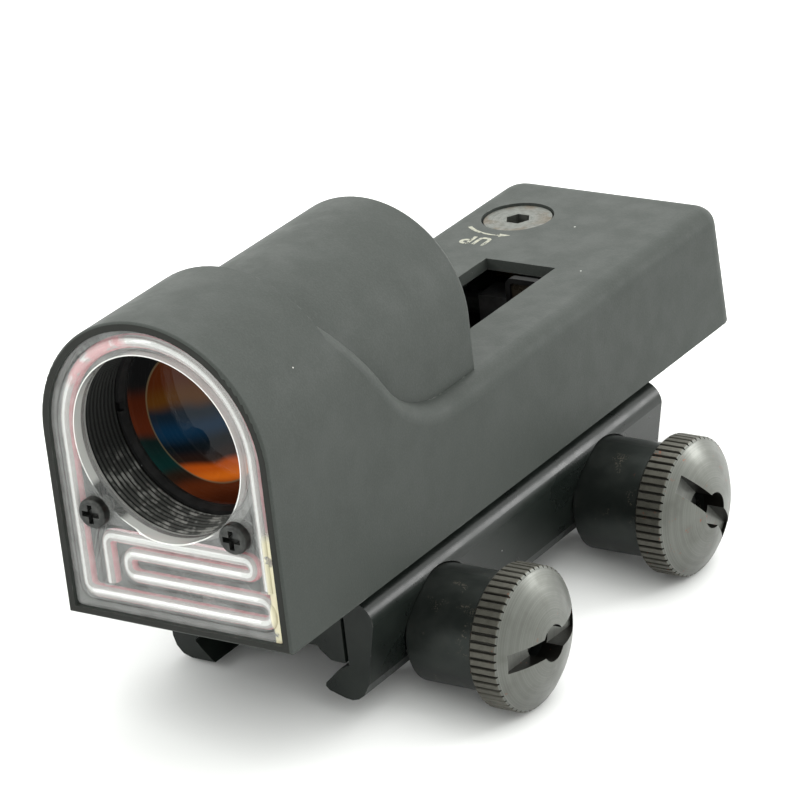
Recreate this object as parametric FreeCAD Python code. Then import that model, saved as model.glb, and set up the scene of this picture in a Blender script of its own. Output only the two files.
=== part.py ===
import FreeCAD, Part
import math
import os

# Rail-mounted tube reflex sight.
# Frame: +X to the sight's right when looked at from the front, +Y to the rear
# (towards the eye), +Z up. The origin is the centre of the flat face of the
# mount that sits on the rail. All lengths are in millimetres.

# ---- driving dimensions -------------------------------------------------
BODY_LENGTH = 107.8
BODY_WIDTH = 33.0
BODY_BOTTOM = 8.0          # underside of the housing above the rail seat
AXIS_HEIGHT = 24.0         # bore axis above the underside of the housing
BLOCK_HEIGHT = 16.8        # top of the rear block above the underside
HOOD_LENGTH = 18.0
TUBE_RADIUS = 14.2
TUBE_END = 48.1            # rear face of the tube behind the front face
BORE_RADIUS = 12.0         # clear hole in the light panel
FRONT_TO_MOUNT = 51.4      # front face ahead of the middle of the mount
REAR_SLANT = 1.3           # how far the top of the rear face leans forward
SHOULDER_FILLET = 2.5
CORNER_FILLET = 3.5
RIM_FILLET = 0.45

MOUNT_LENGTH = 70.0
MOUNT_SCREW_X = 5.4
MOUNT_SCREW_RADIUS = 1.5
MOUNT_HEAD_RADIUS = 3.0
BOLT_PITCH = 40.0
BOLT_AXIS_Z = -2.3
BOLT_RADIUS = 1.95
BOLT_RELIEF = 2.6          # half width of the groove over each bolt
RAIL_HALF = 10.6           # half width across the rail's side edges
RAIL_EDGE_Z = -2.77        # level of those edges below the rail's top
RAIL_TOP_HALF = 8.1
RAIL_PLAY = 0.1            # gap between the fixed jaw and the rail's edge
RAIL_SLOT_DEPTH = 2.95     # the bolts are flattened to pass through the rail's slots

NUT_RADIUS = 9.15
KNURL_TEETH = 54
KNURL_DEPTH = 0.3
COIN_SLOT_END = 7.6        # half length of the slot in a nut's face
COIN_SLOT_DEPTH = 2.6
COIN_SLOT_WIDTH = 2.5
RUNNING = 0.05             # radial clearance of a turning or sliding fit
FIT = 0.02                 # clearance of fixed parts

# ---- derived places -----------------------------------------------------
HALF_WIDTH = BODY_WIDTH / 2
AXIS_Z = BODY_BOTTOM + AXIS_HEIGHT
BLOCK_TOP = BODY_BOTTOM + BLOCK_HEIGHT
FRONT = -FRONT_TO_MOUNT
REAR = FRONT + BODY_LENGTH
Y_AXIS = FreeCAD.Vector(0, 1, 0)
X_AXIS = FreeCAD.Vector(1, 0, 0)
Z_AXIS = FreeCAD.Vector(0, 0, 1)

# light panel, its backing and the fibre set in it
PANEL_HALF = 15.4
PANEL_BOTTOM = 1.0
PANEL_FACE = 0.6
PANEL_THICK = 2.0
BACKING_THICK = 0.3
PANEL_GAP = 0.05
RIDGE_RADIUS = 1.1
RIDGE_RISE = 0.5
RIDGE_PITCH = 3.0
RIDGE_OUTER = 13.6         # the outer ridge follows this radius round the bore
FIBRE_RADIUS = 0.85
BEAD_TOP_RUN = 11.9        # height of the uppermost run of the ridge
FIBRE_TOP_RUN = 11.0       # the fibre's run stays clear of the bore
LEAD_RADIUS = 0.45
PANEL_SCREW_X = 10.35
PANEL_SCREW_Z = 14.4
PANEL_SCREW_RADIUS = 1.0
PANEL_HEAD_RADIUS = 1.95
PANEL_HEAD_HEIGHT = 1.3

# lens group, measured back from the front face
THREAD_PITCH = 0.75
THREAD_CREST = 12.05
THREAD_ROOT = 12.4
RING_RECESS = 12.35
BAFFLES = 24
BAFFLE_DEPTH = 0.5
RING_FRONT = 9.4
LENS_FRONT = 10.6
LENS_BACK = 15.0
LENS_RADIUS = 12.0
MIRROR_RADIUS = 126.0      # sphere of the coated surface
MIRROR_TILT = 5.1          # degrees that its axis dips towards the emitter
SEAT_RADIUS = 10.0
SEAT_BACK = 17.0
BARREL_BORE = 11.4

# rear block: slot, bay and adjusters
SLOT_LEFT = -4.05
SLOT_RIGHT = 6.7
SLOT_REAR = 79.5
CHANNEL_FLOOR = 10.5
BAY_HALF = 13.0
BAY_FRONT = 61.0
BAY_REAR = BODY_LENGTH - 4.0
BAY_CEILING = 15.2
COVER_THICK = 1.6
COVER_LEDGE = 1.6
COVER_RAIL_FRONT = 87.0     # rail on the cover that the saddle slides on
COVER_RAIL_REAR = 92.0
COVER_RAIL_TOP = 3.4
COVER_SCREW_RADIUS = 1.2
COVER_BOSS_RADIUS = 2.4
CORNER_X = 11.2
CORNER_FRONT = 63.6
CORNER_REAR = BAY_REAR - 2.6
ADJUSTER_RADIUS = 4.9
ADJUSTER_HEAD = 2.3
ADJUSTER_SINK = 0.3
ADJUSTER_STEM = 1.5
ADJUSTER_BOSS = 6.3
SOCKET_CORNER = 1.75       # corner radius of the 3 mm hexagon socket
BOSS_FLOOR = 1.5
ELEVATION_X = -7.8
ELEVATION_Y = 93.6
WINDAGE_Y = 83.4
WINDAGE_Z = 8.4
EMITTER_X = 3.0
EMITTER_FACE = 77.0
BEZEL_THICK = 1.05
BEZEL_FRAME = 0.7
WINDOW_FACE = 0.35         # window behind the front of its bezel
WINDOW_THICK = 0.4
EMITTER_HALF = 2.8
EMITTER_TOP = 15.6
EMITTER_CORNER = 1.2
PINHOLE_HEIGHT = 12.6
GUIDE_RADIUS = 0.8
POST_BOTTOM = 8.4          # underside of the emitter head
STEM_HALF = 2.0            # the square stem that slides in the saddle
STEM_MIDDLE = 84.0
SPRING_FLOOR = 2.6
SPRING_ROOM = 2.6
NUT_LEVEL = 9.9            # middle of the elevation nut at rest
TONGUE_HALF = 1.0
TONGUE_RISE = 0.5
FIBRE_RUN_Z = 3.6
FIBRE_UP_Y = 79.1
FIBRE_BEND = 2.5

# clamp
CLAMP_INNER = 12.5
CLAMP_OUTER = 16.8
CLAMP_SHOULDER = 2.8       # radius of the rounded upper edge
CLAMP_TOP = 7.0
CLAMP_BOTTOM = -6.7
NUT_SEAT_X = 15.6
NUT_HEAD_X = 26.0
NUT_HEAD_WIDTH = 4.0
NUT_DOME = 2.9
NUT_BARREL_RADIUS = 7.5
BOLT_END_X = 29.0


# ---- helpers -------------------------------------------------------------
def back(distance):
    """Y of a plane this far behind the housing's front face."""
    return FRONT + distance


def up(height):
    """Z of a level this far above the housing's underside."""
    return BODY_BOTTOM + height


def vec(x, y, z):
    return FreeCAD.Vector(x, y, z)


def box(x0, x1, y0, y1, z0, z1):
    return Part.makeBox(x1 - x0, y1 - y0, z1 - z0, vec(x0, y0, z0))


def rod(radius, start, end):
    """A cylinder between two points."""
    return Part.makeCylinder(radius, (end - start).Length, start, end - start)


def ring(outer, inner, start, end):
    return rod(outer, start, end).cut(rod(inner, start, end))


def prism(points, direction):
    """Extrude a closed polygon."""
    return Part.Face(Part.makePolygon(points + points[:1])).extrude(direction)


def extrude_outline(edges, direction):
    return Part.Face(Part.Wire(edges)).extrude(direction)


def arc(first, middle, last):
    return Part.Arc(first, middle, last).toShape()


def line(first, last):
    return Part.LineSegment(first, last).toShape()


def hexagon(centre, across, along, corner_radius):
    """Corners of a regular hexagon, the first one on the across side."""
    angles = [math.radians(60 * index) for index in range(6)]
    return [centre + across * (corner_radius * math.cos(angle)) + along * (corner_radius * math.sin(angle))
            for angle in angles]


def spun(points, axis_point, axis):
    """Revolve a closed polygon about an axis."""
    return Part.Face(Part.makePolygon(points + points[:1])).revolve(axis_point, axis, 360)


def arch(half, bottom, centre, y0, y1):
    """A prism along Y: straight sides, and a half circle on top."""
    corners = [vec(half, y0, centre), vec(half, y0, bottom), vec(-half, y0, bottom), vec(-half, y0, centre)]
    edges = [line(corners[0], corners[1]), line(corners[1], corners[2]), line(corners[2], corners[3])]
    edges.append(arc(corners[3], vec(0, y0, centre + half), corners[0]))
    return extrude_outline(edges, vec(0, y1 - y0, 0))


def rounded_path(points, radii):
    """A wire of straight runs, each inner corner rounded by a tangent arc."""
    edges = []
    start = points[0]
    for before, corner, after, radius in zip(points, points[1:], points[2:], radii):
        inward = (before - corner).normalize()
        outward = (after - corner).normalize()
        half_angle = inward.getAngle(outward) / 2
        run = radius / math.tan(half_angle)
        entry = corner + inward * run
        leave = corner + outward * run
        bisector = (inward + outward).normalize()
        middle = corner + bisector * (radius / math.sin(half_angle) - radius)
        if (entry - start).Length > 1e-6:
            edges.append(line(start, entry))
        edges.append(arc(entry, middle, leave))
        start = leave
    edges.append(line(start, points[-1]))
    return Part.Wire(edges)


def sweep(wire, radius):
    """A round rod along a smooth wire of straight runs and arcs."""
    pieces = []
    for edge in wire.OrderedEdges:
        first, last = edge.FirstParameter, edge.LastParameter
        start = edge.valueAt(first)
        section = Part.Face(Part.Wire(Part.makeCircle(radius, start, edge.tangentAt(first))))
        if isinstance(edge.Curve, Part.Circle):
            turn = math.degrees(last - first)
            pieces.append(section.revolve(edge.Curve.Center, edge.Curve.Axis, turn))
        else:
            pieces.append(section.extrude(edge.valueAt(last) - start))
    return pieces[0].fuse(pieces[1:]).removeSplitter()


def edges_where(shape, test):
    return [edge for edge in shape.Edges if test(edge.BoundBox)]


def save(name, shape):
    shape.exportStep("parts/" + name + ".step")


# ---- housing --------------------------------------------------------------
def side_outline():
    """Side view of the housing without the tube: hood, shoulder and block."""
    slope = math.radians(53)
    hood_back = back(HOOD_LENGTH)
    knee = vec(0, back(27.4), up(23.1))
    top = vec(0, hood_back, up(AXIS_HEIGHT + HALF_WIDTH + 1))
    foot = vec(0, hood_back, knee.z + (knee.y - hood_back) * math.tan(slope))
    blend = (knee.z - BLOCK_TOP) / (1 - math.cos(slope))
    centre = vec(0, knee.y + blend * math.sin(slope), BLOCK_TOP + blend)
    landing = vec(0, centre.y, BLOCK_TOP)
    half = slope / 2
    middle = centre - vec(0, math.sin(half), math.cos(half)) * blend
    corners = [vec(0, REAR - REAR_SLANT, BLOCK_TOP), vec(0, REAR, BODY_BOTTOM),
               vec(0, FRONT, BODY_BOTTOM), vec(0, FRONT, top.z), top, foot, knee]
    edges = [line(landing, corners[0])]
    edges += [line(first, last) for first, last in zip(corners, corners[1:])]
    edges.append(arc(knee, middle, landing))
    return edges


def outer_body():
    """Hood and rear block, with their soft edges."""
    side = extrude_outline(side_outline(), vec(BODY_WIDTH, 0, 0))
    side.translate(vec(-HALF_WIDTH, 0, 0))
    front = arch(HALF_WIDTH, BODY_BOTTOM, AXIS_Z, FRONT, REAR)
    body = side.common(front).removeSplitter()
    corners = edges_where(body, lambda b: b.XLength < 0.01 and b.YMin > REAR - 2)
    body = body.makeFillet(CORNER_FILLET, corners)
    shoulder = edges_where(body, lambda b: b.XLength < 0.01 and b.ZMax < AXIS_Z + 0.01
                           and b.ZMin > BODY_BOTTOM + 5 and back(20) < b.YMin < REAR - 10)
    body = body.makeFillet(SHOULDER_FILLET, shoulder)
    rim = edges_where(body, lambda b: b.YMax < FRONT + 0.01)
    return body.makeFillet(RIM_FILLET, rim)


def tube():
    """The half-round barrel that stands on the block."""
    shape = arch(TUBE_RADIUS, up(BLOCK_HEIGHT - 4), AXIS_Z, back(4), back(TUBE_END))
    rear = edges_where(shape, lambda b: b.YLength < 0.01 and b.YMax > back(TUBE_END) - 0.01
                       and b.ZMax > BLOCK_TOP)
    return shape.makeFillet(0.7, rear)


def bore_cutter():
    """Front thread, lens seat and the grooved bore of the barrel."""
    pocket = PANEL_FACE + PANEL_THICK + BACKING_THICK
    mouth = THREAD_ROOT + 0.5
    points = [(0, -1), (mouth, -1), (mouth, pocket)]
    for turn in range(int((RING_FRONT - pocket) / THREAD_PITCH)):
        start = pocket + turn * THREAD_PITCH
        points += [(THREAD_CREST, start + 0.1), (THREAD_ROOT, start + THREAD_PITCH / 2),
                   (THREAD_CREST, start + THREAD_PITCH - 0.1)]
    points += [(RING_RECESS, RING_FRONT), (RING_RECESS, LENS_FRONT), (LENS_RADIUS + RUNNING, LENS_FRONT)]
    points += [(LENS_RADIUS + RUNNING, LENS_BACK), (SEAT_RADIUS, LENS_BACK), (SEAT_RADIUS, SEAT_BACK - 0.8)]
    points += [(SEAT_RADIUS + 0.8, SEAT_BACK)]
    plain = TUBE_END - 3
    pitch = (plain - SEAT_BACK) / BAFFLES
    for groove in range(BAFFLES):
        start = SEAT_BACK + groove * pitch
        points += [(BARREL_BORE, start + 0.1), (BARREL_BORE + BAFFLE_DEPTH, start + pitch / 2)]
    points += [(BARREL_BORE, plain), (BARREL_BORE, TUBE_END + 1), (0, TUBE_END + 1)]
    outline = [vec(radius, back(place), AXIS_Z) for radius, place in points]
    return spun(outline, vec(0, 0, AXIS_Z), Y_AXIS)


def adjuster_pocket(face, inward):
    """Counterbore and stem hole for an adjuster that enters at face."""
    depth = ADJUSTER_SINK + ADJUSTER_HEAD + FIT
    floor = face + inward * depth
    cutter = rod(ADJUSTER_RADIUS + RUNNING, face - inward, floor)
    return cutter.fuse(rod(ADJUSTER_STEM + RUNNING, face, floor + inward * (BOSS_FLOOR + 1)))


def adjuster_boss(face, inward, wall):
    depth = ADJUSTER_SINK + ADJUSTER_HEAD + BOSS_FLOOR
    return rod(ADJUSTER_BOSS, face + inward * (wall - 0.5), face + inward * depth)


def elevation_face():
    return vec(ELEVATION_X, back(ELEVATION_Y), BLOCK_TOP)


def windage_face():
    return vec(-HALF_WIDTH, back(WINDAGE_Y), up(WINDAGE_Z))


def cover_screw_places():
    return [vec(x, back(y), BODY_BOTTOM) for x in (-CORNER_X, CORNER_X) for y in (CORNER_FRONT, CORNER_REAR)]


def mount_screw_places():
    return [vec(x, back(y), 0) for x in (-MOUNT_SCREW_X, MOUNT_SCREW_X) for y in (24.0, 56.0)]


def panel_screw_places():
    return [vec(x, back(PANEL_FACE), up(PANEL_SCREW_Z)) for x in (-PANEL_SCREW_X, PANEL_SCREW_X)]


def rear_bay():
    """Room for the emitter and its slides, with bosses left standing in it."""
    bay = box(-BAY_HALF, BAY_HALF, back(BAY_FRONT), back(BAY_REAR), BODY_BOTTOM - 1, up(BAY_CEILING))
    for place in cover_screw_places():
        bay = bay.cut(rod(COVER_BOSS_RADIUS, place, place + Z_AXIS * BAY_CEILING))
    bay = bay.cut(adjuster_boss(elevation_face(), -Z_AXIS, BLOCK_HEIGHT - BAY_CEILING))
    bay = bay.cut(adjuster_boss(windage_face(), X_AXIS, HALF_WIDTH - BAY_HALF))
    ledge = COVER_LEDGE
    recess = box(-BAY_HALF - ledge, BAY_HALF + ledge, back(BAY_FRONT - ledge), back(BAY_REAR + ledge),
                 BODY_BOTTOM - 1, up(COVER_THICK))
    return bay.fuse(recess)


def make_housing():
    body = outer_body().fuse(tube()).removeSplitter()
    pocket_floor = back(PANEL_FACE + PANEL_THICK + BACKING_THICK)
    pocket = arch(PANEL_HALF, up(PANEL_BOTTOM), AXIS_Z, FRONT - 1, pocket_floor)
    floor = up(CHANNEL_FLOOR)
    channel = box(SLOT_LEFT, SLOT_RIGHT, back(TUBE_END - 8), back(TUBE_END), floor, up(BLOCK_HEIGHT - 4))
    slot = channel.fuse(box(SLOT_LEFT, SLOT_RIGHT, back(TUBE_END), back(SLOT_REAR), floor, BLOCK_TOP + 1))
    tunnel = rod(LEAD_RADIUS + 0.5, vec(EMITTER_X, back(2), up(FIBRE_RUN_Z)),
                 vec(EMITTER_X, back(BAY_FRONT + 1), up(FIBRE_RUN_Z)))
    cutters = [pocket, bore_cutter(), slot, rear_bay(), tunnel]
    cutters.append(adjuster_pocket(elevation_face(), -Z_AXIS))
    cutters.append(adjuster_pocket(windage_face(), X_AXIS))
    for place in cover_screw_places():
        cutters.append(rod(COVER_SCREW_RADIUS + RUNNING, place, place + Z_AXIS * 8))
    for place in mount_screw_places():
        cutters.append(rod(MOUNT_SCREW_RADIUS, place + Z_AXIS * (BODY_BOTTOM - 1),
                           place + Z_AXIS * (BODY_BOTTOM + 5.2)))
    for place in panel_screw_places():
        cutters.append(rod(PANEL_SCREW_RADIUS, place, place + Y_AXIS * 8))
    for cutter in cutters:
        body = body.cut(cutter)
    return body.removeSplitter()


# ---- light panel, fibre and lens group --------------------------------------
def ridge_path(y, top_run):
    """Course of the fibre: round the bore, down the left and to and fro below it."""
    left = -RIDGE_OUTER
    turn = RIDGE_PITCH / 2 - 0.05
    corner = 1.25
    bottom_right = 13.8
    upper_right = 11.7
    inner_left = -7.0
    end_left = -9.9
    end_height = 4.7
    points = [(left, AXIS_HEIGHT), (left, RIDGE_PITCH),
              (bottom_right, RIDGE_PITCH), (bottom_right, 2 * RIDGE_PITCH),
              (inner_left, 2 * RIDGE_PITCH), (inner_left, 3 * RIDGE_PITCH),
              (upper_right, 3 * RIDGE_PITCH), (upper_right, top_run),
              (end_left, top_run), (end_left, end_height)]
    corners = [vec(x, y, up(height)) for x, height in points]
    last_turn = (top_run - 3 * RIDGE_PITCH) / 2 - 0.02
    radii = [corner, turn, turn, corner, corner, last_turn, last_turn, corner]
    lower = rounded_path(corners, radii)
    start = vec(-left, y, up(7.6))
    crown = arc(vec(-left, y, AXIS_Z), vec(0, y, AXIS_Z + RIDGE_OUTER), corners[0])
    return Part.Wire([line(start, vec(-left, y, AXIS_Z)), crown] + lower.Edges)


def panel_blank(y0, y1):
    """The panel's outline, without holes."""
    half = PANEL_HALF - PANEL_GAP
    plate = arch(half, up(PANEL_BOTTOM) + PANEL_GAP, AXIS_Z, y0, y1)
    lower = edges_where(plate, lambda b: b.XLength < 0.01 and b.ZLength < 0.01 and b.ZMax < AXIS_Z - 5)
    return plate.makeFillet(0.8, lower)


def pierce_panel(plate):
    """Cut the bore and the two screw holes."""
    plate = plate.cut(rod(BORE_RADIUS, vec(0, FRONT - 2, AXIS_Z), vec(0, back(5), AXIS_Z)))
    for place in panel_screw_places():
        plate = plate.cut(rod(PANEL_SCREW_RADIUS + RUNNING, place - Y_AXIS * 2, place + Y_AXIS * 5))
    return plate


def fibre_y():
    """The fibre lies in the panel, just inside its back face."""
    return back(PANEL_FACE + PANEL_THICK) - FIBRE_RADIUS - 0.2


def make_light_panel():
    face = back(PANEL_FACE)
    bead = sweep(ridge_path(face + RIDGE_RADIUS - RIDGE_RISE, BEAD_TOP_RUN), RIDGE_RADIUS)
    plate = panel_blank(face, back(PANEL_FACE + PANEL_THICK)).fuse(bead)
    plate = pierce_panel(plate)
    for place in panel_screw_places():
        plate = plate.cut(rod(PANEL_HEAD_RADIUS + 0.15, place - Y_AXIS * 2, place))
    return plate.cut(fibre_course(FIBRE_RADIUS + FIT)).removeSplitter()


def make_panel_backing():
    start = back(PANEL_FACE + PANEL_THICK)
    return pierce_panel(panel_blank(start, start + BACKING_THICK))


def fibre_course(radius):
    """A rod of this radius along the course of the fibre."""
    return sweep(ridge_path(fibre_y(), FIBRE_TOP_RUN), radius)


def make_light_fibre():
    """The fluorescent fibre that follows the ridges of the panel."""
    return fibre_course(FIBRE_RADIUS)


def make_fibre_lead():
    """The fibre's run through the floor of the housing to the foot of the emitter."""
    start = vec(EMITTER_X, back(PANEL_FACE + PANEL_THICK + BACKING_THICK), up(FIBRE_RUN_Z))
    bend = vec(EMITTER_X, back(FIBRE_UP_Y), up(FIBRE_RUN_Z))
    tip = vec(EMITTER_X, back(FIBRE_UP_Y), up(7.3))
    return sweep(rounded_path([start, bend, tip], [FIBRE_BEND]), LEAD_RADIUS)


def make_fibre_clip():
    """Upright holder that points the end of the lead at the emitter."""
    foot = vec(EMITTER_X, back(FIBRE_UP_Y), up(COVER_THICK))
    clip = box(EMITTER_X - 2, EMITTER_X + 2, foot.y - 1.7, foot.y + 1.4, foot.z, up(7.1))
    radius = LEAD_RADIUS + FIT
    bore = rod(radius, foot, foot + Z_AXIS * 7)
    slit = box(EMITTER_X - radius, EMITTER_X + radius, back(FIBRE_UP_Y - 2), back(FIBRE_UP_Y),
               up(COVER_THICK + 0.4), up(FIBRE_RUN_Z + FIBRE_BEND + 0.4))
    return clip.cut(bore).cut(slit)


def cross_recess(centre, axis, across, size, depth):
    """A Phillips recess in a screw head that faces against axis."""
    wide = size / 2
    thin = size / 7
    up_arm = axis.cross(across)
    cutter = None
    for first, second in ((across, up_arm), (up_arm, across)):
        points = [centre + first * wide - second * thin, centre + first * wide + second * thin,
                  centre - first * wide + second * thin, centre - first * wide - second * thin]
        arm = prism(points, axis * depth)
        cutter = arm if cutter is None else cutter.fuse(arm)
    return cutter


def make_panel_screws():
    screws = []
    for place in panel_screw_places():
        top = place - Y_AXIS * PANEL_HEAD_HEIGHT
        head = rod(PANEL_HEAD_RADIUS, top, place)
        rim = edges_where(head, lambda b: b.YLength < 0.01 and b.YMax < top.y + 0.1)
        head = head.makeFillet(0.45, rim)
        head = head.cut(cross_recess(top, Y_AXIS, X_AXIS, 2.5, 0.9))
        shank = rod(PANEL_SCREW_RADIUS - FIT, place, place + Y_AXIS * 7.5)
        screws.append(head.fuse(shank).removeSplitter())
    return Part.makeCompound(screws)


def make_lens_ring():
    start = RING_FRONT
    end = LENS_FRONT - FIT
    inner = 11.4
    outer = RING_RECESS - RUNNING
    points = [(inner, start + 0.8), (inner + 0.4, start), (outer, start), (outer, end), (inner, end)]
    shape = spun([vec(radius, back(place), AXIS_Z) for radius, place in points], vec(0, 0, AXIS_Z), Y_AXIS)
    notch = box(-13, 13, back(start - 1), back(start + 0.6), AXIS_Z - 0.6, AXIS_Z + 0.6)
    return shape.cut(notch)


def mirror_ball():
    """Sphere of the coated surface, tipped so that it faces the emitter."""
    tilt = math.radians(MIRROR_TILT)
    vertex = (LENS_FRONT + LENS_BACK) / 2
    centre = vec(0, back(vertex) + MIRROR_RADIUS * math.cos(tilt), AXIS_Z - MIRROR_RADIUS * math.sin(tilt))
    return Part.makeSphere(MIRROR_RADIUS, centre)


def lens_blank():
    return rod(LENS_RADIUS, vec(0, back(LENS_FRONT), AXIS_Z), vec(0, back(LENS_BACK) - FIT, AXIS_Z))


def make_reflector_lens():
    return lens_blank().cut(mirror_ball())


def make_compensating_lens():
    return lens_blank().common(mirror_ball())


def o_ring(centre, axis, radius, thickness):
    return Part.makeTorus(radius, thickness, centre, axis)


# ---- adjusters and emitter ---------------------------------------------------
def adjuster_screw(face, inward, length):
    """Headed screw with a hexagon socket, an O-ring groove and a clip groove."""
    top = face + inward * ADJUSTER_SINK
    under = top + inward * ADJUSTER_HEAD
    head = rod(ADJUSTER_RADIUS, top, under)
    rim = [edge for edge in head.Edges if (edge.CenterOfMass - top).Length < 0.1]
    head = head.makeChamfer(0.25, rim)
    head = head.cut(ring(ADJUSTER_RADIUS + 1, ADJUSTER_RADIUS - 0.7, top + inward * 1.0, top + inward * 1.8))
    stem = rod(ADJUSTER_STEM, under, top + inward * length)
    clip = under + inward * (BOSS_FLOOR + RUNNING)
    stem = stem.cut(ring(ADJUSTER_STEM + 1, ADJUSTER_STEM - 0.35, clip, clip + inward * 0.45))
    screw = head.fuse(stem)
    socket = hexagon(top, inward.cross(Y_AXIS), Y_AXIS, SOCKET_CORNER)
    return screw.cut(prism(socket, inward * 1.9)).removeSplitter()


def adjuster_clip(face, inward):
    """Open retaining ring under the boss."""
    depth = ADJUSTER_SINK + ADJUSTER_HEAD + BOSS_FLOOR + RUNNING
    start = face + inward * depth
    outer = ADJUSTER_STEM + 1.2
    clip = ring(outer, ADJUSTER_STEM - 0.33, start, start + inward * 0.4)
    side = inward.cross(Y_AXIS)
    half = side * 0.8
    long = Y_AXIS * 4
    mouth = [start + half, start - half, start - half + long, start + half + long]
    return clip.cut(prism(mouth, inward))


def adjuster_o_ring(face, inward):
    return o_ring(face + inward * (ADJUSTER_SINK + 1.4), inward, ADJUSTER_RADIUS - 0.34, 0.34)


def make_elevation_screw():
    return adjuster_screw(elevation_face(), -Z_AXIS, 8.6)


def make_windage_screw():
    return adjuster_screw(windage_face(), X_AXIS, 14.4)


def make_elevation_nut():
    """Sliding nut with a tongue that lifts the emitter."""
    level = up(NUT_LEVEL)
    half = 2.6
    body = box(ELEVATION_X - half, ELEVATION_X + half, back(ELEVATION_Y - half), back(ELEVATION_Y + half),
               level - 1, level + 1)
    tongue = box(ELEVATION_X + 2, -1.4, back(ELEVATION_Y - TONGUE_HALF), back(ELEVATION_Y + TONGUE_HALF),
                 level - TONGUE_RISE, level + TONGUE_RISE)
    axis = vec(ELEVATION_X, back(ELEVATION_Y), level)
    hole = rod(ADJUSTER_STEM + RUNNING, axis - Z_AXIS * 3, axis + Z_AXIS * 3)
    return body.fuse(tongue).cut(hole).removeSplitter()


def make_windage_saddle():
    """Block that slides sideways on the cover's rail and guides the emitter."""
    block = box(-6.5, 7.5, back(81.0), back(95.5), up(COVER_THICK + 0.2), up(7.2))
    lug = box(-7.0, -1.4, back(81.0), back(85.7), up(7), up(10.6))
    shape = block.fuse(lug)
    groove = box(-8, 9, back(COVER_RAIL_FRONT - RUNNING), back(COVER_RAIL_REAR + RUNNING), up(0),
                 up(COVER_RAIL_TOP + RUNNING))
    half = STEM_HALF + RUNNING
    guide = box(EMITTER_X - half, EMITTER_X + half, back(STEM_MIDDLE - half), back(STEM_MIDDLE + half),
                up(SPRING_FLOOR), up(8))
    thread = rod(ADJUSTER_STEM + RUNNING, windage_face(), windage_face() + X_AXIS * HALF_WIDTH)
    return shape.cut(groove).cut(guide).cut(thread).removeSplitter()


def make_emitter_post():
    """Sliding post: guided stem, head that holds the emitter, and lifting arm."""
    half = STEM_HALF
    stem = box(EMITTER_X - half, EMITTER_X + half, back(STEM_MIDDLE - half), back(STEM_MIDDLE + half),
               up(SPRING_FLOOR + SPRING_ROOM), up(POST_BOTTOM + 1))
    head = box(EMITTER_X - 2.6, EMITTER_X + 2.6, back(EMITTER_FACE + BEZEL_THICK) + FIT, back(87.0),
               up(POST_BOTTOM), up(14.2))
    arm = box(-3.9, 3.6, back(86.5), back(95.2), up(POST_BOTTOM), up(11.4))
    level = up(NUT_LEVEL)
    wide = TONGUE_HALF + RUNNING
    tall = TONGUE_RISE + RUNNING
    slot = box(-4.5, -0.2, back(ELEVATION_Y - wide), back(ELEVATION_Y + wide), level - tall, level + tall)
    return stem.fuse([head, arm]).cut(slot).cut(light_guide(GUIDE_RADIUS + FIT, 1)).removeSplitter()


def light_guide(radius, extra):
    """A rod that rises behind the window and bends forward to it."""
    foot = back(FIBRE_UP_Y)
    elbow = vec(EMITTER_X, foot, up(PINHOLE_HEIGHT))
    upright = rod(radius, vec(EMITTER_X, foot, up(POST_BOTTOM - extra)), elbow)
    window = vec(EMITTER_X, back(EMITTER_FACE + WINDOW_FACE + WINDOW_THICK - extra), up(PINHOLE_HEIGHT))
    return upright.fuse([rod(radius, window, elbow), Part.makeSphere(radius, elbow)]).removeSplitter()


def make_light_guide():
    """Clear rod that turns the fibre's light forward to the pinhole."""
    return light_guide(GUIDE_RADIUS, 0)


def emitter_plate(inset, start, end):
    """A slice of the emitter's outline, drawn in by inset, with rounded upper corners."""
    half = EMITTER_HALF - inset
    plate = box(EMITTER_X - half, EMITTER_X + half, back(start), back(end),
                up(POST_BOTTOM) + inset, up(EMITTER_TOP) - inset)
    upper = edges_where(plate, lambda b: b.XLength < 0.01 and b.ZLength < 0.01
                        and b.ZMin > up(PINHOLE_HEIGHT))
    return plate.makeFillet(EMITTER_CORNER - inset, upper)


def make_emitter_bezel():
    """Black frame on the front of the emitter head."""
    frame = emitter_plate(0, EMITTER_FACE, EMITTER_FACE + BEZEL_THICK)
    opening = emitter_plate(BEZEL_FRAME, EMITTER_FACE - 1, EMITTER_FACE + WINDOW_FACE + WINDOW_THICK)
    return frame.cut(opening).cut(light_guide(GUIDE_RADIUS + FIT, 1))


def make_emitter_window():
    """Tinted plate in the bezel, with the pinhole that forms the dot."""
    start = EMITTER_FACE + WINDOW_FACE
    plate = emitter_plate(BEZEL_FRAME + FIT, start, start + WINDOW_THICK - FIT)
    centre = vec(EMITTER_X, back(start), up(PINHOLE_HEIGHT))
    return plate.cut(rod(0.15, centre - Y_AXIS, centre + Y_AXIS))


def make_emitter_spring():
    """Coil under the post's stem that takes up the thread's play."""
    wire_radius = 0.17
    coil_radius = 1.3
    length = SPRING_ROOM - 2 * wire_radius - 2 * FIT
    helix = Part.makeHelix(length / 4, length, coil_radius)
    start = vec(coil_radius, 0, 0)
    section = Part.Wire(Part.makeCircle(wire_radius, start, Y_AXIS))
    spring = Part.Wire(helix).makePipeShell([section], True, True)
    spring.translate(vec(EMITTER_X, back(STEM_MIDDLE), up(SPRING_FLOOR) + wire_radius + FIT))
    return spring


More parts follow.
